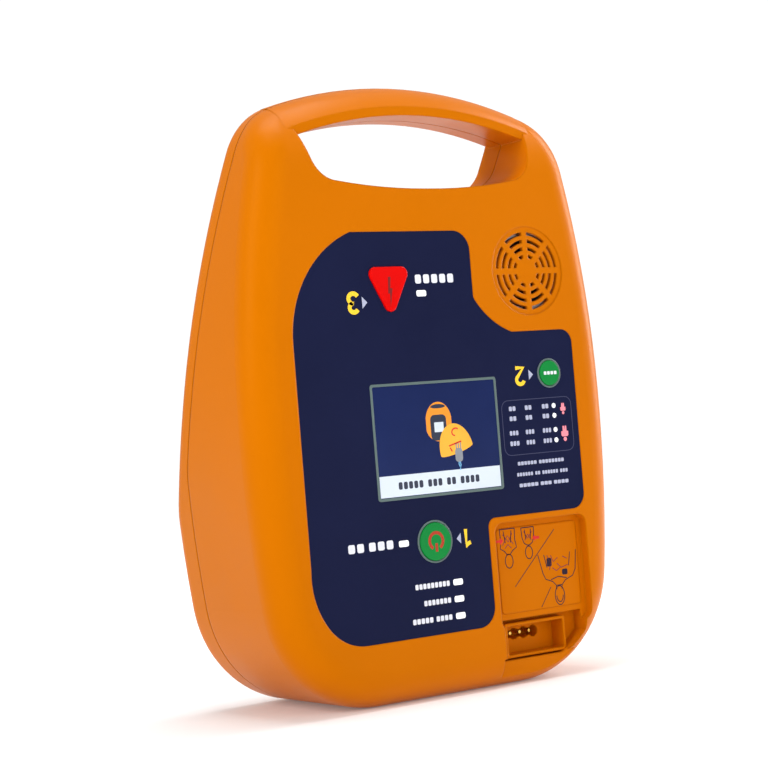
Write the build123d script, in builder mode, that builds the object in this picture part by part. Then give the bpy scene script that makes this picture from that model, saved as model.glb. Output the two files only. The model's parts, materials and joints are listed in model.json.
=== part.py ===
"""Portable defibrillator: a wedge-shaped two-shell case with an arched handle, its controls and its insides.

Millimetres. X is the width, Y the depth (the front faces -Y) and Z the height. The origin is the middle of
the flat base. A "depth" is a distance behind the front face.
"""

from build123d import *
from math import acos, degrees, sqrt
import os

os.makedirs("parts", exist_ok=True)

# ---- driving dimensions of the case -------------------------------------------------------------------
FACE_Y = -43.5  # front face
REAR_Y = 43.7  # flat part of the rear face
WALL = 3.0
FRONT_ROUND = 16.0
REAR_ROUND = 8.0
NOSE_Z = 254.6  # the front face starts to curve back here
NOSE_R = 40.0
HANDLE_DEPTH = 38.5  # depth of the case at the handle
HANDLE_BEND_Z = 278.0  # the sloping rear face starts here
REAR_BEND_Z = 100.0  # and ends here
REAR_BEND_R = 40.0
REAR_SLOPE = (REAR_Y - FACE_Y - HANDLE_DEPTH) / (HANDLE_BEND_Z - REAR_BEND_Z)
FAR = 130.0  # further than any part of the case reaches sideways
TOP = 320.0  # above the case
STANDING = (Align.CENTER, Align.CENTER, Align.MIN)

# outline of the case seen from the front, right half: the points where its arcs meet
TOP_Z = 303.0
SHOULDER_TOP_X = 72.0
SHOULDER_END = (92.0, 270.5)
WIDEST = (108.0, 158.0)
LOWER_SIDE = (103.2, 52.0)
BASE_HALF = 44.0

# arched handle: its section turns about one axis that runs front to back
HANDLE_AXIS_Z = 66.5
HANDLE_OUTER_R = TOP_Z - HANDLE_AXIS_Z
HANDLE_INNER_R = 220.0
HANDLE_FRONT = 8.0  # depth of the grip's front edge
HANDLE_HALF = 74.0
HANDLE_TURN = 22.0
GRIP_BAND = 4.4  # height of the grip's upright front band
GRIP_CREST = 25.0  # depth of the grip's highest line

# hand opening between the case and the grip
OPENING_FLOOR_Z = 249.0
OPENING_CORNER = (54.0, 253.0)
OPENING_SIDE = (66.0, 264.0)
OPENING_TOP = (73.0, 290.0)

# parting line between the shells, parallel to the sloping rear face
SEAM_TOP_DEPTH = 24.5
SEAM_LOW_DEPTH = 68.0
SEAM_BEND_Z = HANDLE_BEND_Z - (SEAM_LOW_DEPTH - SEAM_TOP_DEPTH) / REAR_SLOPE
SEAM_GAP = 0.25
SEAM_GROOVE = 0.8
SEAL_OUT = 1.0
SEAL_IN = 2.0
SEAL_HALF = 0.8

# ---- front face ---------------------------------------------------------------------------------------
PANEL_RECESS = 0.8
PANEL_THICK = 0.6
PANEL_TOP_Z = 228.1
PANEL_BASE_Z = 31.4
PANEL_HALF = 84.6
DISPLAY_X = -5.25
DISPLAY_Z = 126.5
DISPLAY_W = 76.5
DISPLAY_H = 56.2
FRAME_EDGE = 1.3
DISPLAY_ROUND = 1.5
POWER_AT = (-12.25, 76.6)
POWER_R = 9.3
MODE_AT = (67.75, 154.6)
MODE_R = 6.4
RING_W = 1.0
SHOCK_AT = (-27.5, 199.6)
SHOCK_W = 24.0
SHOCK_H = 22.8
SHOCK_ROUND = 3.6
KEY_PROUD = 1.0
KEY_GAP = 0.15
KEY_EDGE = 0.8
FLANGE_AT = WALL + 0.2
FLANGE_T = 1.2
FLANGE_OUT = 0.9
STEM_R = 3.0
STEM_END = 8.3
STATUS_LIGHTS = [(-8.4, 197.6), (-30.75, 77.35), (-0.25, 55.6), (-0.25, 47.35), (-0.25, 39.1)]
STATUS_W = 5.8
STATUS_H = 3.0
ENERGY_LIGHTS = [(69.25, 137.85), (69.25, 132.85), (69.25, 125.6), (69.25, 120.35)]
ENERGY_R = 1.25
PIPE_FRONT = 0.15
PIPE_END = 12.0
SPEAKER_AT = (59.25, 207.1)
SLOT_RADII = (18.9, 15.1, 11.3, 7.5)  # outermost first
SLOT_W = 1.7
SPOKES = 8
SPOKE_W = 3.2
GRILLE_R = 22.5
GRILLE_DISH = 0.6

# sunken corner for the electrode pads: a picture plate above, a socket pocket below, an apron to the base
PLATE_X = (25.0, 84.0)
PLATE_Z = (28.0, 81.6)
PLATE_DEPTH = 5.0
POCKET_X = (26.5, 80.0)
POCKET_Z = (12.5, 32.6)
POCKET_DEPTH = 11.0
PLATE_ROUND = 5.0
POCKET_RIM = 8.0
APRON_Z = (-1.0, 14.0)
APRON_DEPTH = 4.4
SUNK_WALL = 2.6
SOCKET_AT = (50.0, 22.0)
SOCKET_W = 39.0
SOCKET_H = 17.4
SOCKET_FRONT = 5.6
SOCKET_BACK = 26.0
SOCKET_RIM = 1.5
SOCKET_ROUND = 1.0
SOCKET_FLOOR = 15.0
SLOT_AT = (46.3, 24.2)
LOBES = 4
LOBE_PITCH = 6.2
LOBE_R = 2.9

# ---- inside -------------------------------------------------------------------------------------------
KEYPAD_FRONT = 14.0
BOARD_T = 1.6
MAIN_FRONT = 30.0
MAIN_X = 78.0
MAIN_Z = (34.0, 226.0)
STANDOFF_R = 3.2
SCREW_R = 1.5
SCREW_HEAD_R = 2.9
SCREW_HEAD_T = 2.2
SOCKET_KEY_R = 1.3
BOARD_SCREW_R = 1.25
BOARD_SCREW_L = 8.0
CLAMP_REACH = 27.0
CLAMP_AT = 5.2
CLAMP_T = 1.6
CLAMP_SCREW_TIP = 1.8
KEYPAD_POSTS = [(-62.0, 44.0), (-62.0, 186.0), (12.0, 44.0), (12.0, 186.0), (74.0, 106.0)]
MAIN_POSTS = [(-70.0, 42.0), (-70.0, 120.0), (-70.0, 218.0), (72.0, 92.0), (30.0, 220.0)]
BOSS_R = 4.6
CASE_SCREWS = [(88.0, 34.0), (95.0, 100.0), (94.0, 170.0), (85.0, 238.0)]
CASE_SCREW_L = 16.0
CASE_SEAT = 5.0  # wall left under a case screw's head
PLUG_T = 1.6
WELL_R = 3.4

# battery pack and its bay in the rear shell
BATTERY_W = 80.0
BATTERY_Z = (24.0, 80.0)
BATTERY_FRONT = 47.5
BATTERY_GAP = 0.4
BATTERY_WALL = 2.0
BAY_WALL = 2.0
CELL_R = 8.4
CELL_L = 45.0
CATCH_W = 10.0
CATCH_T = 0.5
HOOK_DEPTHS = (70.0, 75.0)
RELEASE_W = 22.0
RELEASE_Z = (85.4, 93.4)
CONTACT_PITCH = 12.0
CONTACT_Z = 60.0
CONTACT_R = 1.2
CONTACT_BACK = 42.0
FOOT_AT = [(66.0, 22.0), (66.0, 90.0)]
FOOT_R = 7.0
FOOT_SEAT = 1.0
FOOT_T = 1.8
BATTERY_ROUND = 3.0
BATTERY_COVER_T = 2.4
NOTCH_H = 1.6
CONTACT_T = 0.5
CONTACT_PAD = (5.0, 9.0)
GRIP_ROWS = 4
GRIP_PITCH = 3.2
GRIP_W = 34.0
GRIP_CUT = 0.8
RELEASE_WALL = 3.2
RELEASE_TAIL_Z = (83.4, 85.0)
CATCH_PATH = [(60, 0), (70, 0), (71.5, -3.4), (73.5, -3.4), (75, 0), (78, 0), (81, 3.2)]

# ---- small parts ----------------------------------------------------------------------------------------
BEZEL_FRONT = 0.05
WINDOW_FRONT = 0.25
WINDOW_T = 1.6
LCD_T = 2.4
BACKLIGHT_T = 1.8
TRAY_T = 0.8
RING_PROUD = 0.35
DOME_BASE_R = 6.6
DOME_TOP_R = 4.0
DOME_H = 9.4
DOME_WALL = 0.6
SWITCH_W = 6.0
SWITCH_H = 3.5
PLUNGER_R = 1.7
PLUNGER_H = 0.8
LED_W = 2.6
LED_H = 1.6
GASKET_T = 0.8
SPEAKER_R = 22.0
BASKET_H = 8.0
MAGNET_R = 10.5
MAGNET_T = 5.0
CONE_BASE_R = 9.2
CONE_TOP_R = 16.5
DUST_CAP_R = 5.0
CLAMP_EAR_W = 8.0
LABEL_T = 0.3
SOCKET_LIP = 2.0
PIN_R = 0.8
PIN_FRONT = 18.0
PIN_TAIL = 2.0
CAP_R = 17.0
CAP_X = (-64.0, 2.0)
CAP_Z = 138.0
CAP_CLAMP_X = (-56.0, -16.0)
CAP_CLAMP_W = 8.0
CLAMP_FOOT_T = 1.5
STRAP_T = 1.0
TRANSFORMER_X = (12.0, 50.0)
TRANSFORMER_Z = (122.0, 154.0)
TRANSFORMER_H = 22.0
RELAY_X = (57.0, 72.0)
RELAY_Z = (110.0, 132.0)
RELAY_L = 19.0
RELAY_H = 15.0
SINK_X = (-62.0, -18.0)
SINK_Z = (90.0, 112.0)
SINK_BASE = 3.0
SINK_H = 16.0
SINK_FINS = 9
COIL_R = 11.0
COIL_AT = (18.0, 102.0)
FILTER_R = 5.0
FILTER_H = 11.0
FILTER_CAPS = [(-50.0, 176.0), (-36.0, 176.0), (-22.0, 176.0), (-8.0, 176.0), (40.0, 176.0), (54.0, 176.0)]
CHIP_T = 1.6
BOARD_CHIPS = [((-30.0, 90.0), (14, 14)), ((0.0, 60.0), (10, 6)), ((40.0, 60.0), (8, 12)), ((-30.0, 130.0), (18, 10))]
DISPLAY_HEADER = ((-40.0, 0.0), (182.0, 187.0))
PADS_HEADER = ((34.0, 60.0), (35.5, 40.5))
BATTERY_HEADER = ((-24.0, 24.0), (54.0, 66.0))
KEYPAD_OUTLINE = [
    (-66.0, 36.0),
    (18.0, 36.0),
    (18.0, 100.0),
    (78.0, 100.0),
    (78.0, 168.0),
    (20.0, 168.0),
    (20.0, 216.0),
    (-66.0, 216.0),
]
LABEL_OUTLINE = [(29.0, 35.5), (81.0, 35.5), (81.0, 78.5), (29.0, 78.5)]


# ---- helpers ------------------------------------------------------------------------------------------
def y_at(depth):
    """The Y of a depth behind the front face."""
    return FACE_Y + depth


def layer(depth):
    """A sketch plane parallel to the front face at a depth; it extrudes towards the front."""
    return Plane.XZ.offset(-y_at(depth))


def rear_depth(z):
    """Depth of the rear face at a height."""
    run = min(max(HANDLE_BEND_Z - z, 0), HANDLE_BEND_Z - REAR_BEND_Z)
    return HANDLE_DEPTH + run * REAR_SLOPE


def seam_depth(z):
    """Depth of the parting line at a height."""
    run = min(max(HANDLE_BEND_Z - z, 0), HANDLE_BEND_Z - SEAM_BEND_Z)
    return SEAM_TOP_DEPTH + run * REAR_SLOPE


def both_sides(points):
    """The points and their mirror images across the middle plane."""
    return points + [(-x, z) for x, z in points]


def grown(size, by):
    """A low and high pair moved apart by the same amount at each end."""
    return (size[0] - by, size[1] + by)


def prism(outline, front, back):
    """A sketch outline pushed through from one depth to another."""
    with BuildPart() as solid:
        with BuildSketch(layer(back)):
            add(outline)
        extrude(amount=back - front)
    return solid.part


def rods(radius, front, back, places):
    """Equal round rods between two depths."""
    with BuildPart(layer(back)) as solid:
        with Locations(*places):
            Cylinder(radius, back - front, align=STANDING)
    return solid.part


def block(x, z, front, back):
    """A plain block between two X, two Z and two depths."""
    with BuildPart(layer(back)) as solid:
        with Locations(((x[0] + x[1]) / 2, (z[0] + z[1]) / 2)):
            Box(x[1] - x[0], z[1] - z[0], back - front, align=STANDING)
    return solid.part


def rounded(width, height, radius, at=(0, 0)):
    """A rectangle sketch with round corners."""
    with BuildSketch() as outline:
        with Locations(at):
            RectangleRounded(width, height, radius)
    return outline.sketch


def ring(outer, inner, at):
    """A flat ring sketch."""
    with BuildSketch() as outline:
        with Locations(at):
            Circle(outer)
            Circle(inner, mode=Mode.SUBTRACT)
    return outline.sketch


# ---- the closed form of the case ----------------------------------------------------------------------
def handle_height(x):
    """Height of the grip's top line at a distance from the middle."""
    return HANDLE_AXIS_Z + sqrt(HANDLE_OUTER_R**2 - x**2)


def case_outline(inset):
    """Front view of the case, pulled in by inset."""
    with BuildSketch() as outline:
        with BuildLine():
            middle = SHOULDER_TOP_X / 2
            crown = ThreePointArc(
                (0, TOP_Z), (middle, handle_height(middle)), (SHOULDER_TOP_X, handle_height(SHOULDER_TOP_X))
            )
            shoulder = TangentArc(crown @ 1, SHOULDER_END, tangent=crown % 1)
            upper = TangentArc(shoulder @ 1, WIDEST, tangent=shoulder % 1)
            lower = TangentArc(upper @ 1, LOWER_SIDE, tangent=upper % 1)
            corner = TangentArc(lower @ 1, (BASE_HALF, 0), tangent=lower % 1)
            Line(corner @ 1, (0, 0))
            mirror(about=Plane.YZ)
        make_face()
        if inset:
            offset(amount=-inset, kind=Kind.INTERSECTION)
    return outline.sketch


def case_profile(inset):
    """Side view of the case in Y and Z, pulled in by inset: upright front, curved nose, sloping rear."""
    nose_turn = degrees(acos((NOSE_R - HANDLE_DEPTH) / NOSE_R))
    with BuildSketch() as profile:
        with BuildLine():
            Line((FACE_Y, 0), (FACE_Y, NOSE_Z))
            nose = CenterArc((FACE_Y + NOSE_R, NOSE_Z), NOSE_R, 180, -nose_turn)
            Polyline(
                nose @ 1,
                (y_at(HANDLE_DEPTH), HANDLE_BEND_Z),
                (REAR_Y, REAR_BEND_Z),
                (REAR_Y, 0),
                (FACE_Y, 0),
            )
        make_face()
        fillet([v for v in profile.vertices() if v.Y in (HANDLE_BEND_Z, REAR_BEND_Z)], REAR_BEND_R)
        if inset:
            offset(amount=-inset, kind=Kind.INTERSECTION)
    return profile.sketch


def hand_opening(grow):
    """The hand opening, open at the top, made larger by grow."""
    with BuildSketch() as opening:
        with BuildLine():
            floor = ThreePointArc(
                (0, OPENING_FLOOR_Z), (OPENING_CORNER[0] / 2, OPENING_FLOOR_Z + 0.9), OPENING_CORNER
            )
            corner = TangentArc(floor @ 1, OPENING_SIDE, tangent=floor % 1)
            Polyline(corner @ 1, OPENING_TOP, (OPENING_TOP[0], TOP), (0, TOP))
            mirror(about=Plane.YZ)
        make_face()
        if grow:
            offset(amount=grow, kind=Kind.INTERSECTION)
    return opening.sketch


def grip_section(inset):
    """Section of the grip in Y and Z: upright front band, leaning top, rounded back."""
    front, back = y_at(HANDLE_FRONT), y_at(HANDLE_DEPTH)
    low, high = HANDLE_AXIS_Z + HANDLE_INNER_R, TOP_Z
    crest = y_at(GRIP_CREST)
    with BuildSketch() as section:
        with BuildLine():
            Line((front, low), (front, low + GRIP_BAND))
            ThreePointArc((front, low + GRIP_BAND), (front + 7.0, low + 11.6), (crest, high - 0.2))
            ThreePointArc((crest, high - 0.2), (back - 4.2, high - 1.9), (back, low + 8))
            Polyline((back, low + 8), (back, low + 3), (back - 3, low), (front, low))
        make_face()
        if inset:
            offset(amount=-inset, kind=Kind.INTERSECTION)
    return section.sketch


def rim_edges(part, front):
    """The long edges round the front or the rear face of the case."""
    chosen = []
    for edge in part.edges():
        middle, run = edge.center(), edge % 0.5
        beside = middle.Y < y_at(HANDLE_DEPTH / 2) if front else middle.Y > y_at(HANDLE_DEPTH * 0.8)
        across = abs(run.X) > 0.999 and middle.Z > WALL + 1
        through = abs(run.Y) > 0.999
        if beside and not across and not through:
            chosen.append(edge)
    return chosen


def envelope(inset):
    """The case as one closed solid with its hand opening, pulled in by inset."""
    with BuildPart() as body:
        with BuildSketch(Plane.XZ.offset(-REAR_Y)):
            add(case_outline(inset))
        extrude(amount=REAR_Y - FACE_Y)
        with BuildSketch(Plane.YZ):
            add(case_profile(inset))
        extrude(amount=FAR, both=True, mode=Mode.INTERSECT)
        fillet(rim_edges(body.part, front=True), FRONT_ROUND - inset)
        fillet(rim_edges(body.part, front=False), REAR_ROUND - inset)
        with BuildSketch(Plane.XZ):
            add(hand_opening(inset))
        extrude(amount=FAR, both=True, mode=Mode.SUBTRACT)
    with BuildPart() as grip:
        with BuildSketch(Plane.YZ):
            add(grip_section(inset))
        revolve(axis=Axis((0, 0, HANDLE_AXIS_Z), (0, 1, 0)), revolution_arc=HANDLE_TURN)
        mirror(about=Plane.YZ)
        with BuildSketch(Plane.XY.offset(HANDLE_AXIS_Z)):
            Rectangle(2 * HANDLE_HALF + 3 * inset, 2 * FAR)
        extrude(amount=TOP, mode=Mode.INTERSECT)
    return body.part + grip.part


def seam_region(shift):
    """Everything in front of the parting surface, which is moved back by shift."""
    with BuildPart() as region:
        with BuildSketch(Plane.YZ) as side:
            with BuildLine():
                Polyline(
                    (-FAR, -FAR),
                    (y_at(SEAM_LOW_DEPTH) + shift, -FAR),
                    (y_at(SEAM_LOW_DEPTH) + shift, SEAM_BEND_Z),
                    (y_at(SEAM_TOP_DEPTH) + shift, HANDLE_BEND_Z),
                    (y_at(SEAM_TOP_DEPTH) + shift, TOP),
                    (-FAR, TOP),
                    close=True,
                )
            make_face()
            bends = [v for v in side.vertices() if v.Y in (SEAM_BEND_Z, HANDLE_BEND_Z)]
            fillet(bends, REAR_BEND_R)
        extrude(amount=FAR, both=True)
    return region.part


# ---- outlines on the front face -----------------------------------------------------------------------
def panel_outline(shrink):
    """The printed panel: it leaves room for the grille at the upper right and the sunken corner below."""
    with BuildSketch() as outline:
        with BuildLine():
            left = Line((-PANEL_HALF, 70), (-PANEL_HALF, 176))
            crown = TangentArc(left @ 1, (-73, 210), tangent=left % 1)
            crown_end = TangentArc(crown @ 1, (-48, PANEL_TOP_Z), tangent=crown % 1)
            Polyline(crown_end @ 1, (23.3, PANEL_TOP_Z), (23.3, 194.6))
            ThreePointArc((23.3, 194.6), (32.5, 184.2), (46.0, 176.6))
            Polyline(
                (46.0, 176.6),
                (PANEL_HALF, 176.6),
                (PANEL_HALF, 84.6),
                (21.3, 84.6),
                (21.3, PANEL_BASE_Z),
                (-56, PANEL_BASE_Z),
            )
            base_corner = TangentArc((-56, PANEL_BASE_Z), (-77, 42), tangent=(-1, 0))
            TangentArc(base_corner @ 1, left @ 0, tangent=base_corner % 1)
        make_face()
        for at, radius in (
            ((23.3, PANEL_TOP_Z), 10),
            ((PANEL_HALF, 176.6), 7),
            ((PANEL_HALF, 84.6), 8),
            ((21.3, 84.6), 4.5),
            ((21.3, PANEL_BASE_Z), 10),
            ((46.0, 176.6), 5),
            ((23.3, 194.6), 5),
        ):
            fillet(outline.vertices().sort_by_distance(Vector(*at, 0))[0], radius)
        if shrink:
            offset(amount=-shrink, kind=Kind.INTERSECTION)
    return outline.sketch


def triangle_outline(grow):
    """The shock button's rounded triangle, point down, about its own centre."""
    half_w, half_h = SHOCK_W / 2, SHOCK_H / 2
    with BuildSketch() as outline:
        with BuildLine():
            Polyline((-half_w - 1.6, half_h), (half_w + 1.6, half_h), (0, -half_h - 3.2), close=True)
        make_face()
        fillet(outline.vertices(), SHOCK_ROUND)
        if grow:
            offset(amount=grow, kind=Kind.ARC)
    return outline.sketch


def grille_slots():
    """Rings of slots cut by spokes, about the speaker's centre."""
    with BuildSketch() as slots:
        for radius in SLOT_RADII:
            Circle(radius + SLOT_W / 2)
            Circle(radius - SLOT_W / 2, mode=Mode.SUBTRACT)
        with PolarLocations(0, SPOKES):
            Rectangle(2 * GRILLE_R, SPOKE_W, mode=Mode.SUBTRACT)
    return slots.sketch


def lobed_slot(grow):
    """The wavy opening of the pads socket: touching lobes in a row."""
    with BuildSketch() as slot:
        half = (LOBES - 1) / 2
        for index in range(LOBES):
            with Locations(((index - half) * LOBE_PITCH, 0)):
                Circle(LOBE_R + grow)
        Rectangle((LOBES - 1) * LOBE_PITCH, LOBE_R * 1.3 + 2 * grow)
    return slot.sketch


def pocket_outline(grow):
    """The socket pocket: a rectangle whose outer corner follows the case's own corner."""
    with BuildSketch() as outline:
        with Locations((sum(POCKET_X) / 2, sum(POCKET_Z) / 2)):
            Rectangle(POCKET_X[1] - POCKET_X[0] + 2 * grow, POCKET_Z[1] - POCKET_Z[0] + 2 * grow)
        add(case_outline(POCKET_RIM - grow), mode=Mode.INTERSECT)
    return outline.sketch


def key(cap_outline, flange_outline, at):
    """A push button: cap through the face, retaining flange behind it, stem over its switch."""
    with BuildPart() as button:
        with BuildSketch(layer(FLANGE_AT)) as cap:
            add(cap_outline)
        extrude(amount=FLANGE_AT + KEY_PROUD)
        fillet(button.edges().group_by(Axis.Y)[0], KEY_EDGE)
        with BuildSketch(layer(FLANGE_AT + FLANGE_T)):
            add(flange_outline)
        extrude(amount=FLANGE_T)
        with BuildSketch(layer(STEM_END)):
            with Locations(at):
                Circle(STEM_R)
        extrude(amount=STEM_END - FLANGE_AT)
    return button.part


def circle_at(radius, at):
    """A round sketch at a point of the face."""
    with BuildSketch() as outline:
        with Locations(at):
            Circle(radius)
    return outline.sketch


# ---- case shells --------------------------------------------------------------------------------------
case_form = envelope(0)
boss_form = envelope(SEAL_IN)
seam_band = seam_region(SEAL_HALF) - seam_region(-SEAL_HALF)
seal = (envelope(SEAL_OUT) - boss_form) & seam_band
seam_line = (seam_region(SEAM_GAP) - seam_region(-SEAM_GAP)) - envelope(SEAM_GROOVE)
case_blank = case_form - envelope(WALL)
case_depth = REAR_Y - FACE_Y
screw_places = both_sides(CASE_SCREWS)
boss_posts = rods(BOSS_R, 1, case_depth, screw_places) & boss_form

plate_centre = (sum(PLATE_X) / 2, sum(PLATE_Z) / 2)
plate_size = (PLATE_X[1] - PLATE_X[0], PLATE_Z[1] - PLATE_Z[0])
plate_cut = prism(rounded(*plate_size, PLATE_ROUND, plate_centre), -1, PLATE_DEPTH)
plate_backing = block(grown(PLATE_X, SUNK_WALL), grown(PLATE_Z, SUNK_WALL), 1, PLATE_DEPTH + SUNK_WALL)
pocket_cut = prism(pocket_outline(0), -1, POCKET_DEPTH)
pocket_backing = prism(pocket_outline(SUNK_WALL), 1, POCKET_DEPTH + SUNK_WALL)
apron_cut = block(PLATE_X, APRON_Z, -1, APRON_DEPTH)
apron_backing = block(grown(PLATE_X, SUNK_WALL), grown(APRON_Z, SUNK_WALL), 1, APRON_DEPTH + SUNK_WALL)
sunk_backing = (plate_backing + pocket_backing + apron_backing) & case_form

keypad_posts = rods(STANDOFF_R, 1, KEYPAD_FRONT, KEYPAD_POSTS)
main_posts = rods(STANDOFF_R, 1, MAIN_FRONT, MAIN_POSTS)
clamp_places = [(SPEAKER_AT[0] + side * CLAMP_REACH, SPEAKER_AT[1]) for side in (-1, 1)]
clamp_posts = rods(STANDOFF_R, 1, CLAMP_AT, clamp_places)

with BuildPart() as board_screws:
    for places, seat in ((KEYPAD_POSTS, KEYPAD_FRONT + BOARD_T), (MAIN_POSTS, MAIN_FRONT + BOARD_T)):
        with BuildSketch(layer(seat)):
            with Locations(*places):
                Circle(BOARD_SCREW_R)
        extrude(amount=BOARD_SCREW_L)
        with BuildSketch(layer(seat + SCREW_HEAD_T)):
            with Locations(*places):
                Circle(SCREW_HEAD_R)
                RegularPolygon(SOCKET_KEY_R, 6, mode=Mode.SUBTRACT)
        extrude(amount=SCREW_HEAD_T / 2)
        with BuildSketch(layer(seat + SCREW_HEAD_T / 2)):
            with Locations(*places):
                Circle(SCREW_HEAD_R)
        extrude(amount=SCREW_HEAD_T / 2)

clamp_back = CLAMP_AT + CLAMP_T
with BuildPart(layer(clamp_back)) as clamp_screws:
    with Locations(*clamp_places):
        Cylinder(BOARD_SCREW_R, clamp_back - CLAMP_SCREW_TIP, align=STANDING)
        Cylinder(SCREW_HEAD_R, SCREW_HEAD_T, align=(Align.CENTER, Align.CENTER, Align.MAX))

with BuildPart() as case_screws:
    for x, z in screw_places:
        seat = seam_depth(z) + CASE_SEAT
        with BuildSketch(layer(seat)):
            with Locations((x, z)):
                Circle(SCREW_R)
        extrude(amount=CASE_SCREW_L)
        with BuildSketch(layer(seat + SCREW_HEAD_T)):
            with Locations((x, z)):
                Circle(SCREW_HEAD_R)
                RegularPolygon(SOCKET_KEY_R, 6, mode=Mode.SUBTRACT)
        extrude(amount=SCREW_HEAD_T / 2)
        with BuildSketch(layer(seat + SCREW_HEAD_T / 2)):
            with Locations((x, z)):
                Circle(SCREW_HEAD_R)
        extrude(amount=SCREW_HEAD_T / 2)

with BuildPart() as screw_wells:
    for x, z in screw_places:
        seat = seam_depth(z) + CASE_SEAT
        add(rods(SCREW_R, seat - CASE_SCREW_L, seat + 1, [(x, z)]))
        add(rods(WELL_R, seat, case_depth + 5, [(x, z)]))

with BuildPart() as screw_caps:
    for x, z in screw_places:
        add(rods(WELL_R - 0.1, rear_depth(z) - PLUG_T - 2, case_depth + 5, [(x, z)]))
    add(case_form, mode=Mode.INTERSECT)

display_hole = prism(rounded(DISPLAY_W, DISPLAY_H, DISPLAY_ROUND, (DISPLAY_X, DISPLAY_Z)), -1, WALL + 1)
power_hole = rods(POWER_R + KEY_GAP + RING_W, -1, WALL + 1, [POWER_AT])
mode_hole = rods(MODE_R + KEY_GAP + RING_W, -1, WALL + 1, [MODE_AT])
shock_hole = prism(Pos(*SHOCK_AT) * triangle_outline(KEY_GAP), -1, WALL + 1)
with BuildPart() as status_pipes:
    with BuildSketch(layer(PIPE_END)):
        with Locations(*STATUS_LIGHTS):
            RectangleRounded(STATUS_W, STATUS_H, STATUS_H * 0.3)
    extrude(amount=PIPE_END - PIPE_FRONT)
with BuildPart(layer(PIPE_END)) as energy_pipes:
    with Locations(*ENERGY_LIGHTS):
        Cylinder(ENERGY_R, PIPE_END - PIPE_FRONT, align=STANDING)
face_holes = [display_hole, power_hole, mode_hole, shock_hole, status_pipes.part, energy_pipes.part]

panel_cut = prism(panel_outline(0), -1, PANEL_RECESS)
dish_cut = rods(GRILLE_R, -1, GRILLE_DISH, [SPEAKER_AT])
slots_cut = prism(Pos(*SPEAKER_AT) * grille_slots(), -1, WALL + 1)
socket_outline = rounded(SOCKET_W, SOCKET_H, SOCKET_ROUND, SOCKET_AT)
socket_hole = prism(socket_outline, POCKET_DEPTH - 1, POCKET_DEPTH + SUNK_WALL + 1)

with BuildPart() as front_shell:
    add(case_blank)
    add([boss_posts, sunk_backing, keypad_posts, main_posts, clamp_posts])
    add(seam_region(0), mode=Mode.INTERSECT)
    add([seam_line, seal, panel_cut], mode=Mode.SUBTRACT)
    add([plate_cut, pocket_cut, apron_cut, socket_hole], mode=Mode.SUBTRACT)
    add(face_holes + [dish_cut, slots_cut], mode=Mode.SUBTRACT)
    add([screw_wells.part, board_screws.part, clamp_screws.part], mode=Mode.SUBTRACT)

# ---- battery bay ---------------------------------------------------------------------------------------
bay_x = grown((-BATTERY_W / 2, BATTERY_W / 2), BATTERY_GAP)
bay_z = grown(BATTERY_Z, BATTERY_GAP)
bay_front = BATTERY_FRONT - BATTERY_GAP
bay_cut = block(bay_x, bay_z, bay_front, case_depth + 5)
bay_block = block(grown(bay_x, BAY_WALL), grown(bay_z, BAY_WALL), bay_front - BAY_WALL, case_depth - 1)
catch_z = bay_z[1] + BAY_WALL
hook_window = block((-CATCH_W / 2 - 1, CATCH_W / 2 + 1), (bay_z[1] - 1, catch_z + 1), *grown(HOOK_DEPTHS, 1.5))
release_x = (-RELEASE_W / 2, RELEASE_W / 2)
release_hole = block(grown(release_x, KEY_GAP), grown(RELEASE_Z, KEY_GAP), case_depth - 5, case_depth + 5)
foot_places = both_sides(FOOT_AT)
foot_seats = rods(FOOT_R, case_depth - FOOT_SEAT, case_depth + 5, foot_places)
contact_places = [((index - 1.5) * CONTACT_PITCH, CONTACT_Z) for index in range(4)]
with BuildPart(layer(BATTERY_FRONT - 0.1)) as bay_contacts:
    with Locations(*contact_places):
        Cylinder(CONTACT_R, BATTERY_FRONT - 0.1 - CONTACT_BACK, align=STANDING)

with BuildPart() as rear_shell:
    add(case_blank)
    add(boss_posts)
    add(bay_block)
    add(seam_region(0), mode=Mode.SUBTRACT)
    add([seam_line, seal, bay_cut, hook_window, release_hole, foot_seats], mode=Mode.SUBTRACT)
    add([screw_wells.part, bay_contacts.part], mode=Mode.SUBTRACT)

# ---- front face parts ----------------------------------------------------------------------------------
with BuildPart() as graphic_panel:
    with BuildSketch(layer(PANEL_RECESS)):
        add(panel_outline(0.1))
    extrude(amount=PANEL_THICK)
    add(face_holes, mode=Mode.SUBTRACT)

display_at = (DISPLAY_X, DISPLAY_Z)
view_w, view_h = DISPLAY_W - 2 * FRAME_EDGE, DISPLAY_H - 2 * FRAME_EDGE
with BuildPart() as display_bezel:
    with BuildSketch(layer(WALL)):
        add(rounded(DISPLAY_W, DISPLAY_H, DISPLAY_ROUND, display_at))
    extrude(amount=WALL - BEZEL_FRONT)
    with BuildSketch(layer(WALL + FLANGE_T)):
        add(rounded(DISPLAY_W + 6, DISPLAY_H + 6, DISPLAY_ROUND, display_at))
    extrude(amount=FLANGE_T)
    with BuildSketch(layer(WALL + FLANGE_T)):
        add(rounded(view_w, view_h, DISPLAY_ROUND / 2, display_at))
    extrude(amount=WALL + FLANGE_T + 1, mode=Mode.SUBTRACT)

with BuildPart() as display_window:
    with BuildSketch(layer(WINDOW_FRONT + WINDOW_T)):
        add(rounded(view_w, view_h, DISPLAY_ROUND / 2, display_at))
    extrude(amount=WINDOW_T)

lcd_front = WALL + FLANGE_T
with BuildPart() as lcd_panel:
    with BuildSketch(layer(lcd_front + LCD_T)):
        add(rounded(view_w + 1, view_h + 1, 0.5, display_at))
    extrude(amount=LCD_T)

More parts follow.
